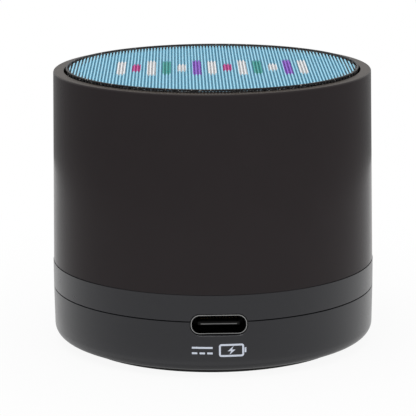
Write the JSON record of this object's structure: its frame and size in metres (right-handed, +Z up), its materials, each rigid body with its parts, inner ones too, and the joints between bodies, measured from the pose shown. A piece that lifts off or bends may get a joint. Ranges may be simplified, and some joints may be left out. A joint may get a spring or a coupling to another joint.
{
  "type": "wireless speaker",
  "caption": "Small cylindrical wireless speaker: drafted barrel, printed mesh grille on top, two-part moulded base with a charging socket, push keys and a slide switch.",
  "frame": {"origin": "middle of the foot's underside", "axes": "+Z up along the barrel's axis, charging socket facing -Y, keys facing +Y"},
  "size_m": [0.0536, 0.054, 0.046],
  "materials": {
    "barrel_paint": "satin",
    "grille_mesh": "printed wire mesh",
    "base_plastic": "fine satin moulding",
    "black_plastic": "satin",
    "foot_rubber": "matt",
    "steel": "plain",
    "socket_steel": "bright",
    "lens_plastic": "clear",
    "basket_steel": "pressed",
    "ferrite": "ground",
    "cone_paper": "pressed paper",
    "surround_rubber": "matt",
    "spider_cloth": "impregnated cloth",
    "former_paper": "paper",
    "copper": "enamelled wire",
    "foam": "foam",
    "tape_foam": "foam",
    "board_green": "solder mask",
    "phenolic": "pressed board",
    "cell_foil": "laminated foil",
    "lead_red": "insulation",
    "lead_black": "insulation",
    "led_resin": "resin"
  },
  "bodies": {
    "casing": {"barrel": "barrel_paint", "grille": "grille_mesh", "grille_ring": "black_plastic", "base_ring": "base_plastic", "bottom_cover": "base_plastic", "foot_pad": "foot_rubber", "usb_shell": "socket_steel", "usb_tongue": "black_plastic", "key_switch_previous": "steel", "key_switch_play": "steel", "key_switch_next": "steel", "slide_switch_body": "steel", "indicator_lens": "lens_plastic", "indicator_led": "led_resin", "microphone": "steel", "driver_gasket": "foam", "driver_basket": "basket_steel", "driver_surround": "surround_rubber", "spider": "spider_cloth", "top_plate": "steel", "magnet": "ferrite", "yoke": "steel", "terminal_strip": "phenolic", "circuit_board": "board_green", "bluetooth_chip": "black_plastic", "amplifier_chip": "black_plastic", "crystal": "steel", "inductor": "black_plastic", "capacitor": "steel", "battery_cell": "cell_foil", "battery_tape": "tape_foam", "battery_lead_red": "lead_red", "battery_lead_black": "lead_black", "speaker_lead_red": "lead_red", "speaker_lead_black": "lead_black", "base_screw_1": "steel", "base_screw_2": "steel", "base_screw_3": "steel"},
    "cone_assembly": {"driver_cone": "cone_paper", "dust_cap": "cone_paper", "coil_former": "former_paper", "coil_winding": "copper"},
    "previous_key": {"key_previous": "base_plastic", "key_plunger_previous": "black_plastic"},
    "play_key": {"key_play": "base_plastic", "key_plunger_play": "black_plastic"},
    "next_key": {"key_next": "base_plastic", "key_plunger_next": "black_plastic"},
    "power_switch": {"switch_knob": "base_plastic", "slide_switch_lever": "black_plastic"}
  },
  "joints": [
    {"name": "cone_travel", "type": "slide", "parent": "casing", "child": "cone_assembly", "axis": [0, 0, 1], "range_m": [-0.0012, 0.0012], "stiffness_N_per_m": 1500, "deforming": ["driver_surround", "spider"]},
    {"name": "previous_press", "type": "slide", "parent": "casing", "child": "previous_key", "axis": [-0.3746, -0.9272, 0], "range_m": [0, 0.00035], "stiffness_N_per_m": 1500},
    {"name": "play_press", "type": "slide", "parent": "casing", "child": "play_key", "axis": [0, -1, 0], "range_m": [0, 0.00035], "stiffness_N_per_m": 1500},
    {"name": "next_press", "type": "slide", "parent": "casing", "child": "next_key", "axis": [0.3746, -0.9272, 0], "range_m": [0, 0.00035], "stiffness_N_per_m": 1500},
    {"name": "power_slide", "type": "slide", "parent": "casing", "child": "power_switch", "axis": [-0.5299, -0.848, 0], "range_m": [0, 0.002]}
  ]
}
